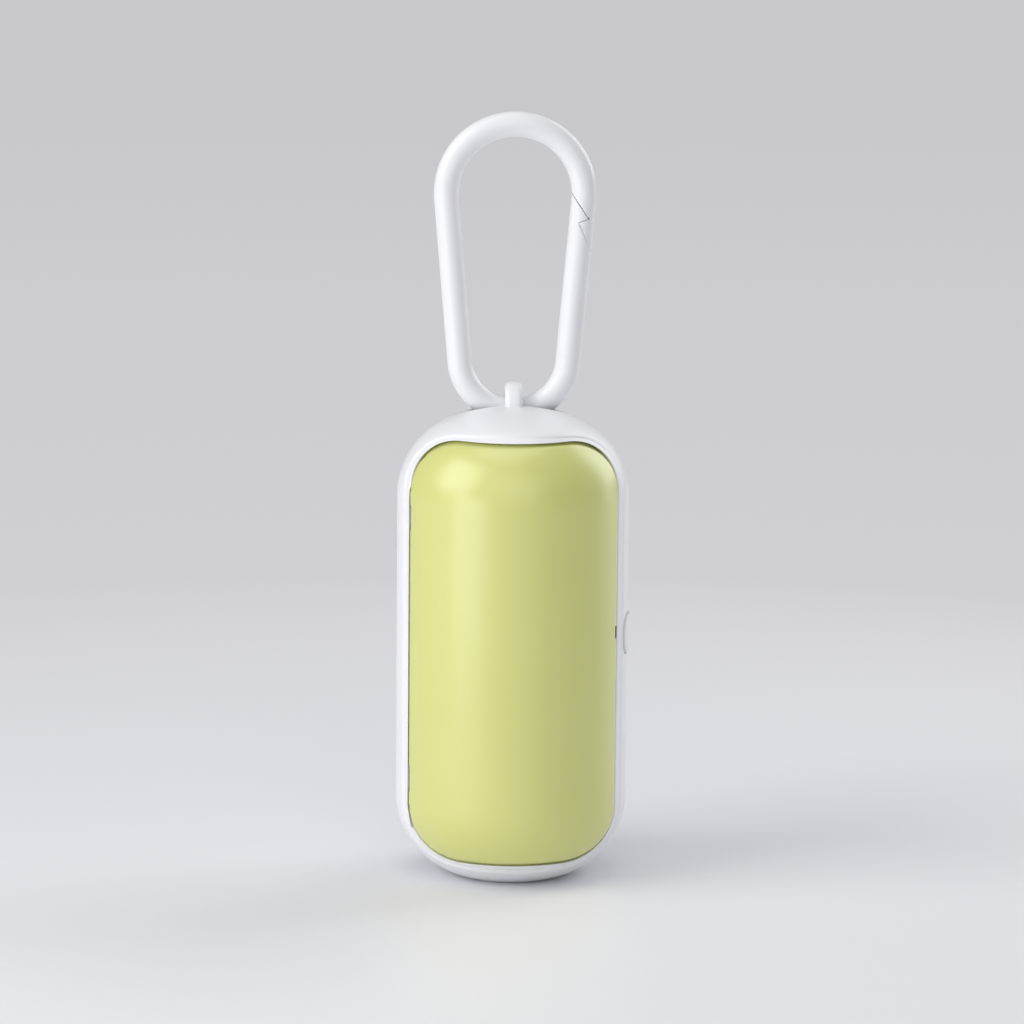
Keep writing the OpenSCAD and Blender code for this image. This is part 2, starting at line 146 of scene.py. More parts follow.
def cut(obj, cutter, operation="DIFFERENCE"):
    """Boolean with a cutter that is then thrown away."""
    apply(obj, "BOOLEAN", "cut", object=cutter, operation=operation, solver="EXACT")
    bpy.data.objects.remove(cutter)


def join(first, *others):
    """Make one object of several."""
    only(first)
    for other in others:
        other.select_set(True)
    bpy.ops.object.join()


def smooth(obj, degrees=32):
    """Shade smoothly, but keep every edge that turns by more than this."""
    only(obj)
    bpy.ops.object.shade_smooth_by_angle(angle=math.radians(degrees))


print("finishing: apply, soften, cut, join, smooth")

# %% [markdown]
# The sizes below are the ones that the case, the cover and the clip share. They
# repeat the construction model, so that new surfaces fit the loaded ones. The
# case's outline is a straight side, a shoulder arc and a flatter crown arc at
# each end, and the foot's crown is cut by the floor.

# %% Shared sizes
case_r, case_h = 21.0, 86.0
shoulder_r, crown_r, foot_r = 15.0, 30.0, 10.0
wall = 1.8
rim_w, rim_h, opening_r = 2.0, 4.7, 9.3
side_gap, end_gap = 0.35, 0.5
cover_sink, cover_wall = 0.21, 1.6
seam_y = 2.2
button_z = 45.0
eye_y, eye_z = 3.4, 84.6
clip_r, small_r, large_r, pitch = 2.29, 9.8, 12.4, 29.8
shoulder_x = case_r - shoulder_r
shoulder_dz = math.sqrt((crown_r - shoulder_r) ** 2 - shoulder_x**2)
top_crown = case_h - crown_r
foot_crown = math.sqrt(crown_r**2 - foot_r**2)
top_shoulder = top_crown + shoulder_dz
low_shoulder = foot_crown - shoulder_dz
mid_z = case_h / 2
print("shoulders at", round(low_shoulder, 2), "and", round(top_shoulder, 2), "mm")


# %% Radius of the case at a height
def arcs_near(z):
    """Heights of the shoulder's and the crown's centres at this end."""
    if z > mid_z:
        return top_shoulder, top_crown
    return low_shoulder, foot_crown


def case_radius(z, depth=0.0):
    """Radius of the case's skin, moved inwards by depth, at height z."""
    if low_shoulder <= z <= top_shoulder:
        return case_r - depth
    shoulder, crown = arcs_near(z)
    arcs_meet = crown_r * shoulder_dz / (crown_r - shoulder_r)
    if abs(z - crown) > arcs_meet * (crown_r - depth) / crown_r:
        return math.sqrt(max((crown_r - depth) ** 2 - (z - crown) ** 2, 0))
    rise = max((shoulder_r - depth) ** 2 - (z - shoulder) ** 2, 0)
    return shoulder_x + math.sqrt(rise)


def on_case(x, z, depth=0.0):
    """Point of the case's front, seen square on at x and z."""
    r = case_radius(z, depth)
    return (x * MM, -math.sqrt(max(r * r - x * x, 0)) * MM, z * MM)


print("front of the case at mid height:", on_case(0, mid_z))

# %% [markdown]
# ## Materials
# Moulded plastic is never one flat colour. The mould leaves a fine grain, the
# pigment drifts a little, and handling polishes it unevenly. Painted textures
# could show that, but noise that reads the piece's own coordinates needs no
# unwrapping and has no seams. Each finish is therefore put together from the
# same three blocks: a noise, a mix of two close tints and a bump.

# %% Blocks that every finish shares
def new_finish(name):
    """Material with nodes: itself, its node tree and its shader."""
    mat = bpy.data.materials.new(name)
    mat.use_nodes = True
    return mat, mat.node_tree, mat.node_tree.nodes["Principled BSDF"]


def noise(tree, scale, detail):
    """Noise over the piece's own coordinates."""
    where = tree.nodes.get("Texture Coordinate") or tree.nodes.new("ShaderNodeTexCoord")
    node = tree.nodes.new("ShaderNodeTexNoise")
    node.inputs["Scale"].default_value = scale
    node.inputs["Detail"].default_value = detail
    tree.links.new(where.outputs["Object"], node.inputs["Vector"])
    return node.outputs["Fac"]


def tinted(tree, shader, tint, deep, share):
    """Colour the shader with a mix of two close tints."""
    mix = tree.nodes.new("ShaderNodeMix")
    mix.data_type = "RGBA"
    mix.inputs["A"].default_value = (*tint, 1)
    mix.inputs["B"].default_value = (*deep, 1)
    tree.links.new(share, mix.inputs["Factor"])
    tree.links.new(mix.outputs["Result"], shader.inputs["Base Color"])


def bumped(tree, shader, height, strength, depth):
    """Raise the surface by a height of so many mm, and give the bump node."""
    bump = tree.nodes.new("ShaderNodeBump")
    bump.inputs["Strength"].default_value = strength
    bump.inputs["Distance"].default_value = depth * MM
    tree.links.new(height, bump.inputs["Height"])
    tree.links.new(bump.outputs["Normal"], shader.inputs["Normal"])
    return bump


print("blocks: new_finish, noise, tinted, bumped")

# %% [markdown]
# The plastics differ in colour and gloss. The cover's plastic also has a clear
# coat, which gives it the soft vertical highlight of a polished mould. The rear
# case is a copy of the construction model with its corners as they are, so its
# plastic rounds them with a Bevel node, which makes them catch the light.

# %% A moulded plastic
drift_scale, drift_detail = 55, 3
wear_scale, wear_detail = 260, 5
grain_scale, grain_detail, grain_depth = 4200, 2, 0.02
polished, dulled = 0.05, 0.06
plastic_ior, coat_roughness, edge_samples = 1.5, 0.27, 6


def plastic(name, tint, deep, rough, grain=0.12, edge=0.0, coat=0.0):
    """Plastic with drifting tints, uneven gloss and the mould's grain."""
    mat, tree, shader = new_finish(name)
    tinted(tree, shader, tint, deep, noise(tree, drift_scale, drift_detail))
    span = tree.nodes.new("ShaderNodeMapRange")
    span.inputs["To Min"].default_value = rough - polished
    span.inputs["To Max"].default_value = rough + dulled
    tree.links.new(noise(tree, wear_scale, wear_detail), span.inputs["Value"])
    tree.links.new(span.outputs["Result"], shader.inputs["Roughness"])
    bump = bumped(tree, shader, noise(tree, grain_scale, grain_detail), grain, grain_depth)
    if edge:
        round_edge = tree.nodes.new("ShaderNodeBevel")
        round_edge.samples = edge_samples
        round_edge.inputs["Radius"].default_value = edge * MM
        tree.links.new(round_edge.outputs["Normal"], bump.inputs["Normal"])
    shader.inputs["IOR"].default_value = plastic_ior
    shader.inputs["Coat Weight"].default_value = coat
    shader.inputs["Coat Roughness"].default_value = coat_roughness
    return mat


white_tint, white_deep = (0.84, 0.84, 0.865), (0.81, 0.81, 0.835)
yellow_tint, yellow_deep = (0.65, 0.67, 0.215), (0.62, 0.64, 0.19)
white = plastic("white moulded plastic", white_tint, white_deep, 0.36)
white_worn = plastic("white plastic with rounded edges", white_tint, white_deep, 0.36, edge=0.15)
yellow = plastic("yellow-green moulded plastic", yellow_tint, yellow_deep, 0.42, coat=1.0)
clip_white = plastic("white clip plastic", white_tint, white_deep, 0.3)
soft = plastic("soft yellow-green rubber", (0.5, 0.53, 0.1), (0.45, 0.48, 0.08), 0.62, grain=0.3)
grey = plastic("natural spindle plastic", (0.6, 0.61, 0.63), (0.55, 0.56, 0.58), 0.45)
print("plastics:", [m.name for m in bpy.data.materials])


# %% [markdown]
# The hidden pieces have finishes of their own: drawn wire, grey card and thin
# film. The wound roll shows the edges of its layers as fine rings on its ends.
# Modelled layers would need a great many faces, so the rings are a sine wave of
# the distance to the roll's axis, which raises the bump.

# %% Wire, card and film
fleck_detail, fleck_strength, turns_per_mm = 6, 0.4, 3.0


def finish_of(name, tint, deep, rough, metal=0.0, scale=900, depth=0.03):
    """Finish whose tint and bump follow one noise."""
    mat, tree, shader = new_finish(name)
    fleck = noise(tree, scale, fleck_detail)
    tinted(tree, shader, tint, deep, fleck)
    bumped(tree, shader, fleck, fleck_strength, depth)
    shader.inputs["Metallic"].default_value = metal
    shader.inputs["Roughness"].default_value = rough
    return mat


def maths(tree, kind, operation, *sources):
    """Add a math node of a kind, and join its inputs to sources or set them."""
    node = tree.nodes.new(kind)
    node.operation = operation
    for socket, source in zip(node.inputs, sources):
        if isinstance(source, bpy.types.NodeSocket):
            tree.links.new(source, socket)
        else:
            socket.default_value = source
    return node


def wound(mat):
    """Raise the bump of a film by the rings of a wound roll."""
    tree = mat.node_tree
    where = tree.nodes["Texture Coordinate"].outputs["Object"]
    flat = maths(tree, "ShaderNodeVectorMath", "MULTIPLY", where, (1, 1, 0))
    out = maths(tree, "ShaderNodeVectorMath", "LENGTH", flat.outputs["Vector"])
    turn = turns_per_mm * 2 * math.pi / MM
    turns = maths(tree, "ShaderNodeMath", "MULTIPLY", out.outputs["Value"], turn)
    wave = maths(tree, "ShaderNodeMath", "SINE", turns.outputs["Value"])
    tree.links.new(wave.outputs["Value"], tree.nodes["Bump"].inputs["Height"])


green_tint, green_deep = (0.3, 0.5, 0.24), (0.24, 0.43, 0.19)
steel = finish_of("drawn steel wire", (0.6, 0.6, 0.62), (0.45, 0.45, 0.47), 0.3, metal=1.0)
card = finish_of("grey card", (0.5, 0.4, 0.28), (0.4, 0.31, 0.21), 0.9, scale=1400, depth=0.06)
film = finish_of("green film", green_tint, green_deep, 0.4, scale=140, depth=0.25)
roll_film = finish_of("wound green film", green_tint, green_deep, 0.42, scale=90)
wound(roll_film)
print("other finishes:", steel.name, card.name, film.name, roll_film.name)

# %% [markdown]
# ## White case
# The rear moulding is the back of the capsule, with the clip's pocket, the
# shelves for the spindle and the outlet. It could be modelled once more, but a
# new model could drift from the pieces that fit into it. The construction model
# already has its shape, as loose triangles that shade as facets. A copy is
# therefore merged and shaded smoothly, and stands in for the loaded node. The
# hinge pins and the outlet ring are finished in the same way further down.

# %% Smoothed copy of a loaded node
cad_merge = 0.0005


def placed(obj, mat, slot, body, *replaced):
    """Give a piece its finish and its body, and let it stand for its nodes."""
    obj.data.materials.clear()
    obj.data.materials.append(mat)
    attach(obj, body)
    if replaced:
        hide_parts(*replaced)
    print(obj.name, "has", len(obj.data.polygons), "faces")
    return obj


def dressed(node, name, mat, slot, body):
    """Merged and smoothly shaded copy of a loaded node, in its place."""
    obj = bpy.data.objects.new(name, nodes[node].data.copy())
    bpy.context.collection.objects.link(obj)
    edit_all(obj)
    weld(cad_merge)
    bpy.ops.object.mode_set(mode="OBJECT")
    if obj.data.has_custom_normals:
        bpy.ops.mesh.customdata_custom_splitnormals_clear()
    smooth(obj)
    return placed(obj, mat, slot, body, node)


rear = dressed("rear_shell", "rear_case", white_worn, "white_case", "case")

# %% [markdown]
# The eye is the one part of the dome that is rounded all over, like a smooth
# ring. A torus would have a round section, and the real eye has flat sides with
# soft corners. The loaded eye is therefore cut off above the dome's skin, and a
# rectangle with rounded corners is spun about the eye's axis in its place.

# %% Cut off the plain eye
eye_hole_r, eye_rim_r, eye_half = 2.75, 5.35, 1.65
eye_cut_r, eye_cut_w = eye_rim_r + 0.1, 3.8
eye_centre = (0, eye_y * MM, eye_z * MM)
bpy.ops.mesh.primitive_cylinder_add(
    vertices=64, radius=eye_cut_r * MM, depth=eye_cut_w * MM,
    location=eye_centre, rotation=(0, math.pi / 2, 0))
old_eye = named("old_eye")
bpy.ops.mesh.primitive_uv_sphere_add(
    segments=192, ring_count=96, radius=crown_r * MM, location=(0, 0, top_crown * MM))
cut(old_eye, named("dome"))
cut(rear, old_eye)
print("rear case without its eye:", len(rear.data.polygons), "faces")

# %% Spin the rounded eye
eye_round = 1.05
eye_mid_z = eye_z + (eye_hole_r + eye_rim_r) / 2
bpy.ops.mesh.primitive_cube_add(
    size=1, location=(0, eye_y * MM, eye_mid_z * MM),
    scale=(2 * eye_half * MM, 0, (eye_rim_r - eye_hole_r) * MM))
eye = named("hanging_eye")
edit_all(eye)
weld()
bpy.ops.mesh.delete(type="ONLY_FACE")
bpy.ops.mesh.select_all(action="SELECT")
bpy.ops.mesh.bevel(offset=eye_round * MM, segments=7, affect="VERTICES")
bpy.ops.mesh.select_all(action="SELECT")
bpy.ops.mesh.spin(
    steps=96, angle=2 * math.pi, use_auto_merge=True, center=eye_centre, axis=(1, 0, 0))
weld()
faces_out(eye)
smooth(eye, 40)
placed(eye, white, "white_case", "case")

# %% [markdown]
# The front frame surrounds the cover and is seen first, so its lip has to flow.
# A stepped lip would draw a hard line, and a bevel would pinch in the corners.
# The frame is therefore built of sections, each from the edge of the opening out
# to the seam and back inside, and in each section the lip sinks a quarter of a
# millimetre along a soft curve.

# %% Outline of the opening
corner_steps, side_steps, end_steps = 18, 60, 32


def rounded_outline(half, low, high, radius):
    """Points of an upright rounded rectangle, from its upper right corner on."""
    centres = ((half - radius, high - radius), (radius - half, high - radius),
               (radius - half, low + radius), (half - radius, low + radius))
    points = []
    for side, (cx, cz) in enumerate(centres):
        for k in range(corner_steps + 1):
            a = math.radians(90 * side + 90 * k / corner_steps)
            points.append((cx + radius * math.cos(a), cz + radius * math.sin(a)))
        nx, nz = centres[(side + 1) % 4]
        x, z = points[-1]
        x1, z1 = nx + radius * math.cos(a), nz + radius * math.sin(a)
        count = side_steps if side % 2 else end_steps
        points += [(x + (x1 - x) * k / count, z + (z1 - z) * k / count) for k in range(1, count)]
    return points


opening = rounded_outline(case_r - rim_w, rim_h, case_h - rim_h, opening_r)
print("the opening has", len(opening), "points")


# %% From the opening to the seam
halvings = 40


def skin_point(p, depth):
    """Nearest point of the case's skin, moved inwards by depth."""
    x, y, z = p
    r = math.hypot(x, y)
    if low_shoulder < z < top_shoulder:
        new_r, new_z = case_r - depth, z
    else:
        way = 1 if z > mid_z else -1
        shoulder, crown = arcs_near(z)
        a = math.atan2(abs(z - shoulder), r - shoulder_x)
        if a < math.atan2(shoulder_dz, shoulder_x):
            new_r = shoulder_x + (shoulder_r - depth) * math.cos(a)
            new_z = shoulder + way * (shoulder_r - depth) * math.sin(a)
        else:
            a = math.atan2(abs(z - crown), r)
            new_r = (crown_r - depth) * math.cos(a)
            new_z = crown + way * (crown_r - depth) * math.sin(a)
    k = new_r / r
    return (x * k, y * k, new_z)


def inside_seam(x, z):
    """Whether a point of the seam plane lies inside the case."""
    low = foot_crown - crown_r
    return low < z < case_h and math.hypot(x, seam_y) < case_radius(z)


def seam_point(x, z):
    """Point of the seam straight out from an opening's point, by halving."""
    pivot = min(max(z, rim_h + opening_r), case_h - rim_h - opening_r)
    dx, dz = x, z - pivot
    near, far = 1.0, 3.0
    for _ in range(halvings):
        k = (near + far) / 2
        near, far = (k, far) if inside_seam(dx * k, pivot + dz * k) else (near, k)
    return (dx * near, -seam_y, pivot + dz * near)


print("seam beside the first point:", [round(v, 2) for v in seam_point(*opening[0])])


# %% Sections of the frame
wall_depths = (1.5, 1.1, 0.75, 0.55)
lip_curve = ((0.02, 0.42), (0.09, 0.32), (0.2, 0.265), (0.35, 0.25), (0.8, 0.25), (1.3, 0.25),
             (1.55, 0.235), (1.8, 0.185), (2.05, 0.11), (2.3, 0.045), (2.55, 0.01), (2.75, 0))
outer_steps, inner_steps = 14, 10
rebate_depth, rebate_w = wall / 2 - 0.05, 1.3


def mixed(p, q, t):
    """Point between p and q."""
    return tuple(a + (b - a) * t for a, b in zip(p, q))


def wall_point(x, z, depth):
    """Point of the opening's wall, which is radial at the sides."""
    x = x * (case_r - depth) / case_r
    r = case_radius(z, depth)
    return (x, -math.sqrt(max(r * r - x * x, 0)), z)


def frame_section(x, z):
    """Closed section: wall, lip, skin, seam with its rebate, and inner side."""
    edge, seam = wall_point(x, z, 0), seam_point(x, z)
    length = math.dist(edge, seam)
    points = [wall_point(x, z, d) for d in wall_depths]
    for s, d in lip_curve:
        lip = mixed(wall_point(x, z, d), skin_point(seam, d), s / length)
        points.append(skin_point(lip, d))
    start = lip_curve[-1][0] / length
    for k in range(1, outer_steps + 1):
        t = start + (1 - start) * k / outer_steps
        points.append(skin_point(mixed(edge, seam, t), 0))
    rebate = skin_point(seam, rebate_depth)
    points.append((rebate[0], -seam_y, rebate[2]))
    back = mixed(edge, seam, 1 - rebate_w / length)
    points.append(skin_point(back, rebate_depth))
    last, first = skin_point(back, wall), wall_point(x, z, wall)
    points.append(last)
    for k in range(1, inner_steps):
        points.append(skin_point(mixed(last, first, k / inner_steps), wall))
    points.append(first)
    return points


def loft(name, sections):
    """Closed skin over a closed row of closed sections."""
    n, count = len(sections[0]), len(sections)
    points = [Vector(p) * MM for section in sections for p in section]
    faces = []
    for i in range(count):
        here, there = i * n, (i + 1) % count * n
        for k in range(n):
            after = (k + 1) % n
            faces.append((here + k, here + after, there + after, there + k))
    return mesh_piece(name, points, faces)


rim = loft("front_rim", [frame_section(x, z) for x, z in opening])
print("front rim:", len(rim.data.vertices), "points")

# %% [markdown]
# ## Hinge and window of the frame
# Most of what is cut from the frame or added to it is a rod or a block, placed
# in the case's own coordinates. Both are primitives with their place applied.

# %% Rods and blocks
def upright_rod(name, r, x, y, z0, z1, sides=48):
    """Upright cylinder at x and y, from z0 to z1."""
    bpy.ops.mesh.primitive_cylinder_add(
        vertices=sides, radius=r * MM, depth=(z1 - z0) * MM,
        location=(x * MM, y * MM, (z0 + z1) / 2 * MM))
    return named(name)


def block(name, low, high):
    """Box between two corners."""
    bpy.ops.mesh.primitive_cube_add(
        size=1, location=[(a + b) / 2 * MM for a, b in zip(low, high)],
        scale=[(b - a) * MM for a, b in zip(low, high)])
    return named(name)


def turned(obj, turn):
    """Turn a piece about the case's axis, from straight ahead to its angle."""
    only(obj)
    obj.rotation_euler = (0, 0, turn)
    bpy.ops.object.transform_apply(rotation=True)
    return obj


print("solids: upright_rod, block, turned")

# %% [markdown]
# The cover turns about an axis just inside its left edge. The frame is planed
# flat at the foot and relieved where the cover's rolled edge turns. The relief
# tapers out at both ends, so that no step shows in the gap.

# %% Plane the foot and relieve the frame
barrel_r, barrel_sink = 1.05, 0.03
half_w = case_r - rim_w - side_gap
hinge_r = case_r - cover_sink - barrel_r - barrel_sink
hinge_x = -half_w + barrel_r
hinge_y = -math.sqrt(hinge_r**2 - hinge_x**2)
hinge_a = math.atan2(-hinge_x, -hinge_y)
barrel_low, barrel_high = rim_h + opening_r, case_h - rim_h - opening_r
relief_r, relief_end_r, relief_run = 1.35, 0.7, 4.4
relief_lap, relief_fit = 0.2, 0.01
beyond, below = 30, 6
cut(rim, block("below_floor", (-beyond, -beyond, -below), (beyond, beyond, 0)))
cut(rim, upright_rod("relief", relief_r, hinge_x, hinge_y, barrel_low, barrel_high, 64))
for z, way in ((barrel_low, -1), (barrel_high, 1)):
    bpy.ops.mesh.primitive_cone_add(
        vertices=64, radius1=(relief_r - relief_fit) * MM, radius2=relief_end_r * MM,
        depth=relief_run * MM,
        location=(hinge_x * MM, hinge_y * MM, (z + way * (relief_run / 2 - relief_lap)) * MM),
        rotation=(0 if way > 0 else math.pi, 0, 0))
    cut(rim, named("relief_end"))
print("hinge axis at", round(hinge_x, 2), round(hinge_y, 2), "mm")

# %% [markdown]
# The push button comes through a window with round corners that is split
# between frame and rear case. Its cap, its flange and the window are the same
# block in three sizes, rounded across the wall and trimmed to a radius. A short
# groove beside it gives the fingernail room.

# %% Window of the push button and nail groove
button_w, button_h, button_corner = 8.4, 7.0, 2.4
window_gap, window_in, window_out = 0.25, 6, 3
outer_room, trim_half = 2, 9
notch_low, notch_high = button_z + 0.1, button_z + 2.4
nail_r, nail_out, nail_a = 0.9, 19.7, math.radians(65.5)


def button_block(name, w, h, x0, x1, corner, outer_r):
    """Block with rounded corners across the wall, trimmed to a radius."""
    low = (x0, -seam_y - w / 2, button_z - h / 2)
    obj = block(name, low, (x1, -seam_y + w / 2, button_z + h / 2))
    for e in obj.data.edges:
        a, b = (obj.data.vertices[k].co for k in e.vertices)
        e.select = abs(a.x - b.x) > 1 * MM
    only(obj)
    bpy.ops.object.mode_set(mode="EDIT")
    bpy.ops.mesh.select_mode(type="EDGE")
    bpy.ops.mesh.bevel(offset=corner * MM, segments=12, affect="EDGES")
    bpy.ops.object.mode_set(mode="OBJECT")
    trim = upright_rod("trim", outer_r, 0, 0, button_z - trim_half, button_z + trim_half, 360)
    cut(obj, trim, "INTERSECT")
    return obj


nail_x, nail_y = nail_out * math.sin(nail_a), -nail_out * math.cos(nail_a)
cut(rim, upright_rod("nail_groove", nail_r, nail_x, nail_y, notch_low, notch_high, 32))
cut(rim, button_block("window", button_w + 2 * window_gap, button_h + 2 * window_gap,
                      case_r - window_in, case_r + window_out, button_corner + window_gap,
                      case_r + outer_room))
print("window:", button_w + 2 * window_gap, "x", button_h + 2 * window_gap, "mm")

# %% [markdown]
# Two ears on the frame hold the hinge pins. A straight ear would show in the
# gap, so each one is a gooseneck: it leaves the frame's inner side, runs under
# the cover's rolled edge and comes up to the pin from inside.

# %% Ears that hold the hinge pins
ear_r, ear_h, ear_inset, pin_hole_r = 0.72, 4.0, 3.0, 0.525
neck_left, neck_right, riser_right, foot_left = -0.35, 0.55, -2.3, -3.1
ear_inner, foot_outer, riser_outer = 17.9, 18.7, 19.6
spare = 1  # how far a cutter stands out
ear_low = barrel_low + ear_inset
ear_high = barrel_high - ear_inset - ear_h
bends = (("neck", neck_left, neck_right, hinge_r),
         ("foot", foot_left, neck_right, foot_outer),
         ("riser", foot_left, riser_right, riser_outer))
ears = []
for low in (ear_low, ear_high):
    top = low + ear_h
    ear = upright_rod("ear", ear_r, hinge_x, hinge_y, low, top)
    for name, left, right, outer in bends:
        bar = block(name, (left, -outer, low), (right, -ear_inner, top))
        cut(ear, turned(bar, -hinge_a), "UNION")
    cut(ear, upright_rod("pin_hole", pin_hole_r, hinge_x, hinge_y, low - spare, top + spare, 32))
    ears.append(ear)
join(rim, *ears)
smooth(rim)
placed(rim, white, "white_case", "case", "front_frame")

# %% [markdown]
# ## Front cover
# The cover is a curved sheet with rounded corners that lies just below the
# case's skin. A flat sheet could be bent and bevelled, but a bevel is squeezed
# flat where the rows of faces crowd together in the corners. The sheet is
# therefore laid out row by row in its outline, and its rounded edge is made of
# rings that follow the outline. A thin ledge goes round it, deep in the gap, so
# that one sees the cover's colour there and not the inside.

# %% Outline of the cover
low_z, high_z = rim_h + end_gap, case_h - rim_h - end_gap
corner_r = opening_r - side_gap
columns = 64


def cover_rows():
    """Half width, height and outward direction of each row's end."""
    low, high = low_z + corner_r, high_z - corner_r
    straight_h = high_z - low_z - 2 * corner_r
    ends = [(math.radians(-90 + 90 * i / corner_steps), low) for i in range(corner_steps + 1)]
    ends += [(0.0, low + straight_h * i / side_steps) for i in range(1, side_steps)]
    ends += [(math.radians(90 * i / corner_steps), high) for i in range(corner_steps + 1)]
    across = half_w - corner_r
    return [(across + corner_r * math.cos(a), z + corner_r * math.sin(a), a) for a, z in ends]


rows = cover_rows()
print("the cover has", len(rows), "rows of", columns, "faces")


# %% Lay the sheet on the case
least_slope = 0.05


def inset_point(x, z, nx, nz, inset, depth):
    """Place moved back from the outline by an inset, measured along the skin."""
    slope = math.sqrt(max(1 - (x / case_radius(z, depth)) ** 2, least_slope))
    return x - inset * nx * slope, z - inset * nz


def cover_grid(inset, depth, narrow=1.0):
    """All rows of the sheet at one inset and depth."""
    points = []
    for w, z, a in rows:
        x_end, z_row = inset_point(w * narrow, z, math.cos(a), math.sin(a), inset, depth)
        r = case_radius(z_row, depth)
        turn = math.asin(x_end / r)
        for j in range(columns + 1):
            across = math.sin(turn * (2 * j / columns - 1))
            points.append(on_case(r * across, z_row, depth))
    return points


def border_points():
    """Index in the grid, and direction outwards, round the sheet's border."""
    n = columns + 1
    last = len(rows) - 1
    loop = [(j, 0, -1) for j in range(columns)]
    loop += [(i * n + columns, math.cos(rows[i][2]), math.sin(rows[i][2])) for i in range(last)]
    loop += [(last * n + j, 0, 1) for j in range(columns, 0, -1)]
    loop += [(i * n, -math.cos(rows[i][2]), math.sin(rows[i][2])) for i in range(last, 0, -1)]
    return loop


print("border of the sheet:", len(border_points()), "points")


# %% Faces of the sheet and of its edge
def grid_faces(start, outer):
    """Faces between the rows of a sheet whose points begin at start."""
    n = columns + 1
    faces = []
    for i in range(len(rows) - 1):
        for j in range(columns):
            a = start + i * n + j
            faces.append((a, a + 1, a + n + 1, a + n) if outer else (a, a + n, a + n + 1, a + 1))
    return faces


def band(ring, following):
    """Faces between two closed rings of points."""
    n = len(ring)
    return [(ring[a], following[a], following[(a + 1) % n], ring[(a + 1) % n]) for a in range(n)]


print("faces of one sheet:", len(grid_faces(0, True)))

# %% Rounded edge, ledge and back of the sheet
edge_r, edge_steps, ledge_w = 0.35, 5, 0.26
ledge_low, ledge_high, ledge_back = 0.6, 0.66, 1.1
ledge_from, ledge_run = -17.6, 2
end_ledge, end_from, end_run = 0.6, 0.2, 0.4


def ramp(value, start, run):
    """Rise from 0 at start to 1 at the end of a run."""
    return min(max((value - start) / run, 0), 1)


def edge_profile():
    """Inset and drop of each ring, from the outer face to the back."""
    turns = [math.radians(90 * k / edge_steps) for k in range(1, edge_steps + 1)]
    profile = [(edge_r * (1 - math.sin(a)), edge_r * (1 - math.cos(a))) for a in turns]
    profile += [(0, ledge_low), (-ledge_w, ledge_high)]
    return profile + [(-ledge_w, ledge_back), (-ledge_w, cover_wall)]


def cover_ring(loop, base, inset, drop):
    """Ring round the sheet. The ledge fades at the hinge and grows at the ends."""
    narrow = (case_r - cover_sink - drop) / (case_r - cover_sink)
    depth = cover_sink + drop
    points = []
    for k, nx, nz in loop:
        x, z = base[k][0] / MM, base[k][2] / MM
        out = inset
        if inset < 0:
            out *= ramp(x, ledge_from, ledge_run)
            out *= 1 + end_ledge * ramp(abs(nz), end_from, end_run)
        points.append(on_case(*inset_point(x * narrow, z, nx, nz, out, depth), depth))
    return points


def cover_sheet():
    """The curved sheet with a rounded outer edge, a wall and a back."""
    points = cover_grid(edge_r, cover_sink)
    faces = grid_faces(0, True)
    loop = border_points()
    base = cover_grid(0, cover_sink)
    ring = [k for k, nx, nz in loop]
    for inset, drop in edge_profile():
        following = [len(points) + a for a in range(len(loop))]
        points += cover_ring(loop, base, inset, drop)
        faces += band(ring, following)
        ring = following
    start = len(points)
    depth = cover_sink + cover_wall
    points += cover_grid(0, depth, (case_r - depth) / (case_r - cover_sink))
    faces += grid_faces(start, False)
    faces += band(ring, [start + k for k, nx, nz in loop])
    return mesh_piece("front_cover_sheet", points, faces)


cover = cover_sheet()
print("cover sheet:", len(cover.data.vertices), "points")

# %% [markdown]
# The sheet has a slot where each of the frame's ears stands, so that it can
# swing without touching them. A small notch in its right edge is where a
# fingernail lifts it.

# %% Slots and nail notch
slide_gap, bore_gap, room_gap = 0.25, 0.16, 0.2
room_left, room_right, room_inner = -4, 0.8, 16
notch_depth = 0.32
for low in (ear_low, ear_high):
    slot_low, slot_high = low - slide_gap, low + ear_h + slide_gap
    cut(cover, upright_rod("bore", ear_r + bore_gap, hinge_x, hinge_y, slot_low, slot_high))
    room = block("room", (room_left, -hinge_r + room_gap, slot_low),
                 (room_right, -room_inner, slot_high))
    cut(cover, turned(room, -hinge_a))
cut(cover, block("notch", (half_w - notch_depth, -case_r, notch_low), (half_w + spare, 0, notch_high)))
print("cover with its slots:", len(cover.data.polygons), "faces")

# %% [markdown]
# The rolled edge on the left turns on two short pins and is interrupted at the
# ears. The tongue on the right goes into the push button's plate. The barb at
# its tip is a block whose leading edge is drawn back, which makes the wedge that
# pushes the button aside when the cover is shut.

# %% Rolled edge, tongue and barb
latch_gap, tongue_t, tongue_half = 0.65, 1.1, 2.5
tongue_root, tongue_tip = -11.4, -3.05
barb_reach, barb_l, lap = 0.65, 1.0, 0.01
stretches = [(barrel_low + slide_gap, ear_low - slide_gap),
             (ear_low + ear_h + slide_gap, ear_high - slide_gap),
             (ear_high + ear_h + slide_gap, barrel_high - slide_gap)]
rolled = [upright_rod("rolled_edge", barrel_r, hinge_x, hinge_y, a, b) for a, b in stretches]
for rod in rolled:
    soften(rod, "soft ends", 0.12, 3)
tongue_x = (case_r - wall) * (case_r - rim_w) / case_r - latch_gap
tongue_low, tongue_high = button_z - tongue_half, button_z + tongue_half
tongue = block("tongue", (tongue_x - tongue_t, tongue_root, tongue_low),
               (tongue_x, tongue_tip, tongue_high))
soften(tongue, "soft tongue", 0.1, 2)
barb_x, barb_y = tongue_x - tongue_t - barb_reach, tongue_tip - barb_l
barb = block("barb", (barb_x, barb_y, tongue_low),
             (tongue_x - tongue_t + lap, tongue_tip, tongue_high))
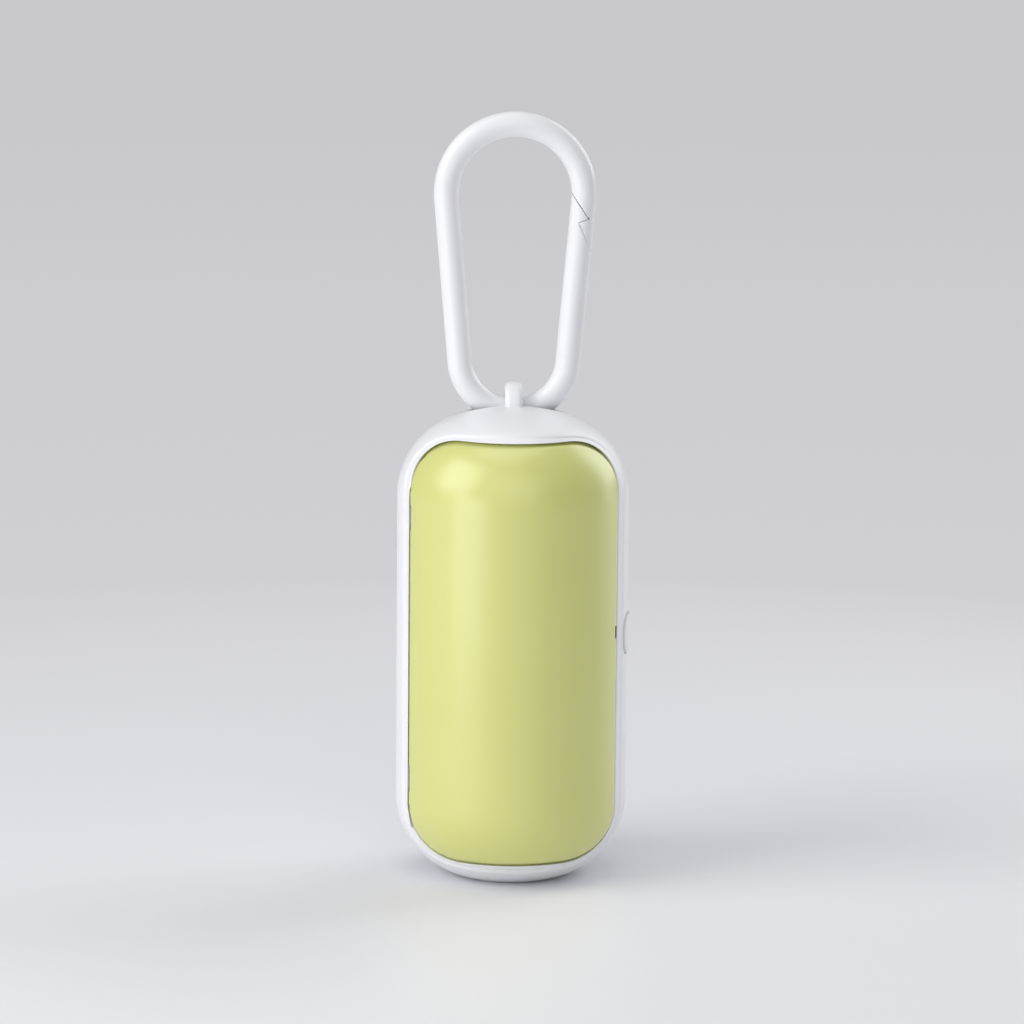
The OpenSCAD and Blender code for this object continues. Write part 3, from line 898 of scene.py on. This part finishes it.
for v in barb.data.vertices:
    if v.co.x < (barb_x + barb_reach / 2) * MM and v.co.y > (barb_y + barb_l / 2) * MM:
        v.co.y = (barb_y + lap) * MM
join(cover, *rolled, tongue, barb)
cover.name = "cover_panel"
smooth(cover, 35)
placed(cover, yellow, "yellow_cover", "cover", "front_cover")
dressed("upper_hinge_pin", "upper_pin", steel, "steel", "case")
dressed("lower_hinge_pin", "lower_pin", steel, "steel", "case")

# %% [markdown]
# ## Clip
# The clip is one round section bent into a long loop. A curve with a bevel could
# follow the loop too. Here it is made as by hand, because the ends then stay
# plain rings: a circle is drawn across the section, extruded along the straight
# legs and spun round the two bends.

# %% Sizes and directions of the clip
lean = math.asin((large_r - small_r) / pitch)
small_z = eye_z + small_r
large_z = small_z + pitch
leg_l = math.sqrt(pitch**2 - (large_r - small_r) ** 2)
root_u = 1.0


def leg_point(u, v=0.0, y=0.0):
    """Point beside the right-hand leg: u along it, v outwards across it."""
    x = small_r * math.cos(lean) + u * math.sin(lean) + v * math.cos(lean)
    z = small_z - small_r * math.sin(lean) + u * math.cos(lean) - v * math.sin(lean)
    return Vector((x, eye_y + y, z)) * MM


print("legs lean by", round(math.degrees(lean), 2), "degrees and are", round(leg_l, 2), "mm long")


# %% Ring, straight, bend and ends of a bar
def leg_ring(name):
    """Circle across the right-hand leg at its root, with all of it selected."""
    bpy.ops.mesh.primitive_circle_add(vertices=48, radius=clip_r * MM, fill_type="NOTHING")
    ring = bpy.context.active_object
    ring.location = leg_point(root_u)
    ring.rotation_euler = (0, lean, 0)
    edit_all(named(name))
    return ring


def straight(length, side, steps=12):
    """Extrude the selected ring along the right-hand leg, 1, or the left, -1."""
    move = Vector((side * math.sin(lean), 0, math.cos(lean))) * length / steps * MM
    for _ in range(steps):
        bpy.ops.mesh.extrude_region_move(TRANSFORM_OT_translate={"value": move})


def bend(z, degrees, steps):
    """Spin the selected ring round a bend's centre, downwards from the right."""
    bpy.ops.mesh.spin(steps=steps, angle=math.radians(-degrees), use_auto_merge=False,
                      center=(0, eye_y * MM, z * MM), axis=(0, 1, 0))


def ends_capped(obj):
    """Close each open end with one face and turn all faces outwards."""
    edit(obj, "EDGE")
    weld()
    bpy.ops.mesh.select_all(action="DESELECT")
    bpy.ops.mesh.select_non_manifold(extend=False)
    bpy.ops.mesh.fill_holes(sides=64)
    faces_out(obj)


print("bar: leg_ring, straight, bend, ends_capped")

# %% [markdown]
# The flexing leg's barb and the clip's hook meet along a zigzag, so that the
# leg can be pressed in but not pulled out. Both ends are cut by one prism with
# the zigzag as its edge. It is shifted by half the gap to either side, which
# leaves an even gap between them.

# %% Hook-shaped cutter
hook_u, hook_barb, hook_back = 26.4, 0.52 * clip_r, -0.26 * clip_r
hook_drop, hook_gap, hook_out = 0.8, 0.25, 4.6
upper_slope, lower_slope = 1.23, 1.76


def hook_cutter(shift, low_u):
    """Everything on the gate's side of the hooked joint, above low_u."""
    top_u = hook_u + (hook_barb + hook_out) * upper_slope
    end_u = hook_u - hook_drop - (hook_out - hook_back) * lower_slope
    outline = [(-hook_out, low_u), (-hook_out, top_u), (hook_barb, hook_u),
               (hook_back, hook_u - hook_drop), (hook_out, end_u), (hook_out, low_u)]
    points = [leg_point(u, v - shift, y) for y in (-hook_out, hook_out) for v, u in outline]
    n = len(outline)
    faces = [tuple(range(n)), tuple(range(2 * n - 1, n - 1, -1))]
    faces += [(i, i + n, (i + 1) % n + n, (i + 1) % n) for i in range(n)]
    return mesh_piece("hook_cutter", points, faces)


print("the hooked joint lies", hook_u, "mm up the leg")

# %% Body of the clip
body_end_u, body_low_u = 15, 8
hook_round, hook_angle = 0.16, math.radians(40)
clip_loop = leg_ring("clip_loop")
straight(-root_u, 1, 1)
bend(small_z, 180 - 2 * math.degrees(lean), 56)
straight(leg_l, -1)
bend(large_z, 180 + 2 * math.degrees(lean), 72)
straight(body_end_u - leg_l, 1)
ends_capped(clip_loop)
cut(clip_loop, hook_cutter(-hook_gap / 2, body_low_u))
soften(clip_loop, "soft hook", hook_round, 3, angle_limit=hook_angle)
smooth(clip_loop, 35)
placed(clip_loop, clip_white, "white_clip", "clip", "clip_body")

# %% [markdown]
# The flexing leg is a piece of its own, the thin plastic that bends when it is
# pressed in. It is extruded in many short steps along its length.

# %% Gate of the clip
gate_over, gate_low_u, flex_u = 1.2, -6, 6.5
gate = leg_ring("clip_flexing_leg")
straight(leg_l + gate_over - root_u, 1, 36)
ends_capped(gate)
cut(gate, hook_cutter(hook_gap / 2, gate_low_u), "INTERSECT")
soften(gate, "soft barb", hook_round, 3, angle_limit=hook_angle)
smooth(gate, 35)
gate.data.materials.append(clip_white)
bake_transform(gate)
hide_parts("clip_gate")
print("gate:", len(gate.data.polygons), "faces")

# %% [markdown]
# ## Push button
# The button is a soft-cornered cap that stands a third of a millimetre proud of
# the case. It could be a flat pad, but the real one follows the case's curve.
# The block is therefore cut by a cylinder a little larger than the case before
# its edges are rounded. Behind the wall, a wider flange keeps the button in.

# %% Button cap and flange
proud, flange_t, flange_over = 0.35, 0.9, 2.3
cap_lap, flange_in = 0.2, 1
skin_in = case_r - wall
cap_in = skin_in - slide_gap - flange_t
cap = button_block("push_button", button_w, button_h, cap_in - cap_lap, case_r + outer_room,
                   button_corner, case_r + proud)
soften(cap, "soft cap", 0.34, 5, angle_limit=math.radians(50))
flange = button_block("flange", button_w + flange_over, button_h + flange_over, cap_in - flange_in,
                      case_r, button_corner, skin_in - slide_gap)
cut(flange, upright_rod("hollow", cap_in, 0, 0, button_z - trim_half, button_z + trim_half, 360))
print("cap and flange:", len(cap.data.polygons), "and", len(flange.data.polygons), "faces")

# %% [markdown]
# The plate reaches in from the cap, and the cover's tongue goes through a window
# in it. The bar that is left beside the window holds the barb. The same window
# is cut from all three parts, so that nothing stands in the tongue's way.

# %% Catch plate with its window
bar_w, bar_lap = 0.95, 0.4
plate_t, plate_lap, plate_over = 1.2, 0.3, 1
window_half = tongue_half + slide_gap
window_past, window_behind = 0.8, 1
plate_half = window_half + plate_over
plate_y = -seam_y - button_w / 4
bar_x = tongue_x - tongue_t - barb_reach + bar_lap
plate = block("plate", (bar_x - bar_w, plate_y - plate_t, button_z - plate_half),
              (cap_in + plate_lap, plate_y, button_z + plate_half))
window_low = (bar_x, -case_r, button_z - window_half)
window_high = (tongue_x + window_past + slide_gap, plate_y + window_behind, button_z + window_half)
for part in (plate, flange, cap):
    cut(part, block("window", window_low, window_high))
join(cap, flange, plate)
smooth(cap, 35)
placed(cap, white, "white_case", "button", "release_button")

# %% [markdown]
# ## Button spring
# A coil could be a curve or a long row of points. A screw modifier winds a small
# circle about the x axis of the scene instead, and the finished coil is then
# moved to its place. When the button is pushed the coil shortens towards its
# bracket.

# %% Coil
spring_l, spring_in, seat = 3.1, 3.15, 0.025
wire, coil_d, coil_turns = 0.35, 3.0, 4
spring_x, spring_y = cap_in - spring_in, 0.6
spring_at = (spring_x * MM, spring_y * MM, button_z * MM)
bpy.ops.mesh.primitive_circle_add(
    vertices=12, radius=wire / 2 * MM, fill_type="NOTHING",
    location=((seat + wire / 2) * MM, (coil_d - wire) / 2 * MM, 0))
coil = named("button_coil")
apply(coil, "SCREW", "wind", axis="X", angle=2 * math.pi * coil_turns, steps=96, render_steps=96,
      screw_offset=(spring_l - wire) * MM, use_merge_vertices=False)
coil.location = spring_at
bpy.ops.object.transform_apply(location=True)
ends_capped(coil)
smooth(coil, 50)
coil.data.materials.append(steel)
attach(coil, "case")
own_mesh(coil)
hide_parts("button_spring")
print("coil:", len(coil.data.polygons), "faces")

# %% [markdown]
# ## Spindle, discs and roll
# A paper core carries the wound bags. It turns on a plain spindle with two
# discs, and its journals snap into the slots of the case's two shelves. All of
# it is round and could be one spun outline. Cylinders with a small bevel keep
# each size in view, and without the bevel the rims would catch no light.

# %% Spindle
roll_r, roll_l, core_d, core_wall = 13.5, 58.0, 13.0, 1.0
disc_d, disc_t, journal_r = 20.0, 1.2, 2.5
end_play, shelf_t, journal_over = 0.3, 1.8, 0.6
press, disc_press = 0.05, 0.025
roll_low, roll_high = mid_z - roll_l / 2, mid_z + roll_l / 2
disc_low, disc_high = roll_low - end_play - disc_t, roll_high + end_play
journal_low = disc_low - end_play - shelf_t - journal_over
journal_high = disc_high + disc_t + end_play + shelf_t + journal_over
shaft_r = core_d / 2 - core_wall - press
spindle = upright_rod("spindle", journal_r, 0, 0, journal_low, journal_high, 64)
soften(spindle, "chamfer", 0.3, 1)
shaft = upright_rod("shaft", shaft_r, 0, 0, disc_low + disc_t + press, disc_high - press, 64)
soften(shaft, "soft shaft", 0.2, 2)
join(spindle, shaft)
smooth(spindle)
placed(spindle, grey, "spindle", "roll", "spindle_shaft")

# %% End discs
hole_count, hole_r, hole_out = 6, disc_d / 12, disc_d * 0.34


def end_disc(name, z, node):
    """Disc with a bore for the spindle and a ring of round holes."""
    low, high = z - spare, z + disc_t + spare
    disc = upright_rod(name, disc_d / 2, 0, 0, z, z + disc_t, 96)
    cut(disc, upright_rod("bore", journal_r + disc_press, 0, 0, low, high, 64))
    for i in range(hole_count):
        a = math.radians(360 / hole_count * i)
        x, y = hole_out * math.cos(a), hole_out * math.sin(a)
        cut(disc, upright_rod("hole", hole_r, x, y, low, high))
    soften(disc, "soft rim", 0.15, 2)
    smooth(disc)
    placed(disc, grey, "spindle", "roll", node)


end_disc("lower_end_disc", disc_low, "lower_disc")
end_disc("upper_end_disc", disc_high, "upper_disc")


# %% Core and wound bags
bags_in = 0.5


def tube(name, outer, inner, z0, z1, sides):
    """Upright tube on the roll's axis."""
    sleeve = upright_rod(name, outer, 0, 0, z0, z1, sides)
    cut(sleeve, upright_rod("bore", inner, 0, 0, z0 - spare, z1 + spare, sides))
    return sleeve


core = tube("paper_core", core_d / 2, core_d / 2 - core_wall, roll_low, roll_high, 96)
soften(core, "soft rim", 0.12, 2)
smooth(core)
placed(core, card, "card", "roll", "roll_core")
bags = tube("wound_bags", roll_r, core_d / 2 + press, roll_low + bags_in, roll_high - bags_in, 144)
soften(bags, "soft ends", 0.5, 4)
smooth(bags)
placed(bags, roll_film, "bags", "roll", "bag_roll")

# %% [markdown]
# The bags' free end leaves the roll on the right, runs straight to the outlet
# and passes through the slit. It lies flat between fixed places, so cloth
# physics would add nothing. One small face is laid on the roll, its leading edge
# is extruded along the path, and the sheet gets the thickness of a folded bag.

# %% Path of the free end
strip_t, strip_h, turn_r, roll_gap, end_in = 0.5, 24.0, 3.0, 0.3, 0.5
wrap_from, wrap_to, wrap_step, turn_steps = 20, 50, 3, 8
strip_r = roll_r + roll_gap + strip_t / 2
leave = math.radians(wrap_to)
wrap = [math.radians(a) for a in range(wrap_from, wrap_to + 1, wrap_step)]
path = [(strip_r * math.cos(a), strip_r * math.sin(a)) for a in wrap]
leave_x, leave_y = path[-1]
straight_l = (leave_x - turn_r * (1 - math.cos(leave))) / math.sin(leave)
bend_y = leave_y + straight_l * math.cos(leave) + turn_r * math.sin(leave)
for k in range(turn_steps, -1, -1):
    a = leave * k / turn_steps
    path.append((turn_r - turn_r * math.cos(a), bend_y - turn_r * math.sin(a)))
path.append((0, case_r - end_in))
print("path of the free end:", len(path), "points")

# %% Free end of the bags
(x0, y0), (x1, y1) = path[:2]
bpy.ops.mesh.primitive_plane_add(size=1, location=(0, 0, 0))
strip = named("free_end")
for v in strip.data.vertices:
    x, y = (x1, y1) if v.co.x > 0 else (x0, y0)
    v.co = Vector((x, y, mid_z + math.copysign(strip_h / 2, v.co.y))) * MM
edit(strip)
bpy.ops.object.mode_set(mode="OBJECT")
for v in strip.data.vertices:
    v.select = v.co.x < (x0 + x1) / 2 * MM
for e in strip.data.edges:
    e.select = all(strip.data.vertices[k].select for k in e.vertices)
bpy.ops.object.mode_set(mode="EDIT")
for (xa, ya), (xb, yb) in zip(path[1:], path[2:]):
    step = Vector((xb - xa, yb - ya, 0)) * MM
    bpy.ops.mesh.extrude_region_move(TRANSFORM_OT_translate={"value": step})
bpy.ops.object.mode_set(mode="OBJECT")
apply(strip, "SOLIDIFY", "folded film", thickness=strip_t * MM, offset=0)
faces_out(strip)
smooth(strip)
placed(strip, film, "bags", "case", "bag_strip")
dressed("outlet_ring", "soft_outlet", soft, "soft_ring", "case")

# %% [markdown]
# ## Floor, light and camera
# The object stands on a wide, flat and pale floor. A sheet that curves up behind
# it would hide the object from the other side. The floor stays flat instead, and
# away from the object camera rays see a glowing colour in its place, the colour
# of the surroundings. This colour is painted shade: it darkens with the distance,
# where the light falls off. Lamps and shadows still find plain paper.

# %% Floor that fades into the surroundings, with painted shade
floor_r, near_r, gone_r, far_r = 7000, 120, 300, 1500
# Painted shade: the floor's glowing tones, darker away from the object, where the light falls off.
near_painted_shade, middle_painted_shade, far_painted_shade = (0.7, 0.7, 0.735), (0.628, 0.622, 0.656), (0.58, 0.573, 0.606)
middle_at = 0.13


def share_between(tree, distance, low, high):
    """Turn a distance into a value from 0 at low to 1 at high, in mm."""
    node = tree.nodes.new("ShaderNodeMapRange")
    node.inputs["From Min"].default_value = low * MM
    node.inputs["From Max"].default_value = high * MM
    tree.links.new(distance, node.inputs["Value"])
    return node.outputs["Result"]


def shown_instead(tree, share, plain, shown, target):
    """Send a target one shader, and by a share another shader in its place."""
    mix = tree.nodes.new("ShaderNodeMixShader")
    tree.links.new(share, mix.inputs["Fac"])
    tree.links.new(plain, mix.inputs[1])
    tree.links.new(shown, mix.inputs[2])
    tree.links.new(mix.outputs["Shader"], target)


def painted_falloff_floor(mat):
    """Let camera rays see a painted glow on a floor, darker with the distance as painted shade."""
    tree = mat.node_tree
    where = tree.nodes["Texture Coordinate"].outputs["Object"]
    out = maths(tree, "ShaderNodeVectorMath", "LENGTH", where).outputs["Value"]
    shade = tree.nodes.new("ShaderNodeValToRGB")
    shade.color_ramp.elements[0].color = (*near_painted_shade, 1)
    shade.color_ramp.elements[1].color = (*far_painted_shade, 1)
    shade.color_ramp.elements.new(middle_at).color = (*middle_painted_shade, 1)
    # Painted shade: a glow whose tone darkens with the distance.
    painted_glow = tree.nodes.new("ShaderNodeEmission")
    tree.links.new(share_between(tree, out, near_r, far_r), shade.inputs["Fac"])
    tree.links.new(shade.outputs["Color"], painted_glow.inputs["Color"])
    camera_ray = tree.nodes.new("ShaderNodeLightPath").outputs["Is Camera Ray"]
    hidden = share_between(tree, out, near_r, gone_r)
    share = maths(tree, "ShaderNodeMath", "MULTIPLY", hidden, camera_ray)
    shown_instead(tree, share.outputs["Value"], tree.nodes["Principled BSDF"].outputs["BSDF"],
                  painted_glow.outputs["Emission"], tree.nodes["Material Output"].inputs["Surface"])


paper_tint, paper_deep = (0.8, 0.8, 0.83), (0.795, 0.795, 0.825)
bpy.ops.mesh.primitive_circle_add(
    vertices=96, radius=floor_r * MM, fill_type="NGON", location=(0, 0, 0))
floor = named("studio_floor")
paper = finish_of("pale studio floor", paper_tint, paper_deep, 0.5, scale=60, depth=0.0)
painted_falloff_floor(paper)
floor.data.materials.append(paper)
print("floor radius:", floor_r, "mm")


# %% [markdown]
# A large soft lamp at the front left makes the long pale shadow on the right. A
# small near lamp on the left is what the cover's coat reflects as an upright
# highlight. Front and top lamps fill the shape, and two on the right and behind
# keep that side from going dull. Each looks at a point of the object.

# %% Lamps
def lamp(name, at, size, energy, aim=(0, 0, 60)):
    """Square or oblong area lamp that looks at a point."""
    bpy.ops.object.light_add(type="AREA", location=[v * MM for v in at])
    obj = bpy.context.active_object
    obj.name = name
    if isinstance(size, tuple):
        obj.data.shape = "RECTANGLE"
        obj.data.size, obj.data.size_y = (v * MM for v in size)
    else:
        obj.data.size = size * MM
    obj.data.energy = energy
    way = Vector(aim) * MM - obj.location
    obj.rotation_euler = way.to_track_quat("-Z", "Y").to_euler()


lamp("key", (-1060, -470, 780), 950, 9.1)
lamp("strip", (-188, -189, 57), (157, 110), 0.128, aim=(-8, -18, 57))
lamp("front", (0, -1300, 700), 1100, 3.2)
lamp("top", (-100, -100, 1300), 900, 4.2)
lamp("right edge", (700, 260, 260), (220, 700), 0.8, aim=(0, 0, 45))
lamp("right side", (600, 520, 480), (600, 700), 2.7, aim=(0, 0, 45))

# %% [markdown]
# The surroundings light the object weakly and evenly. A camera ray sees another
# colour there, the one that the floor fades into, so the backdrop's tone can be
# chosen without changing the light on the object.

# %% Surroundings
fill_color, fill_strength = (0.93, 0.95, 1), 0.3
backdrop_color = (0.575, 0.568, 0.601)
world = bpy.data.worlds.new("surroundings")
world.use_nodes = True
world_tree = world.node_tree
fill = world_tree.nodes["Background"]
fill.inputs["Color"].default_value = (*fill_color, 1)
fill.inputs["Strength"].default_value = fill_strength
backdrop = world_tree.nodes.new("ShaderNodeBackground")
backdrop.inputs["Color"].default_value = (*backdrop_color, 1)
to_camera = world_tree.nodes.new("ShaderNodeLightPath").outputs["Is Camera Ray"]
shown_instead(world_tree, to_camera, fill.outputs["Background"], backdrop.outputs["Background"],
              world_tree.nodes["World Output"].inputs["Surface"])
bpy.context.scene.world = world
print("surroundings:", fill_strength, "of white for the object")

# %% [markdown]
# The camera stands far off with a long lens, as in a catalogue picture, so the
# upright sides stay nearly parallel. It looks slightly down. It is turned as a
# whole about the object's axis, and its own small tilt is applied to its two
# side directions, which become the columns of its matrix.

# %% Camera
frame_px, sensor_w = 1024, 36
away, focal_px = 900, 4943.1
above, pan, lift, tilt, yaw = (math.radians(v) for v in (11.26, -0.012, 1.476, -0.504, 1.550))
look = lift - above
forward = Vector((math.sin(pan) * math.cos(look), math.cos(pan) * math.cos(look), math.sin(look)))
right = Vector((math.cos(pan), -math.sin(pan), 0))
up = right.cross(forward)
tilted_right = math.cos(tilt) * right - math.sin(tilt) * up
tilted_up = math.sin(tilt) * right + math.cos(tilt) * up
place = Matrix((tilted_right, tilted_up, -forward)).transposed().to_4x4()
place.translation = Vector((0, -away * math.cos(above), mid_z + away * math.sin(above))) * MM
camera_data = bpy.data.cameras.new("camera")
camera_data.sensor_width = sensor_w
camera_data.lens = focal_px / frame_px * sensor_w
camera = bpy.data.objects.new("camera", camera_data)
bpy.context.collection.objects.link(camera)
camera.matrix_world = Matrix.Rotation(-yaw, 4, "Z") @ place
scene = bpy.context.scene
scene.camera = camera
scene.view_settings.view_transform = "Standard"
print("camera lens:", round(camera_data.lens, 1), "mm")
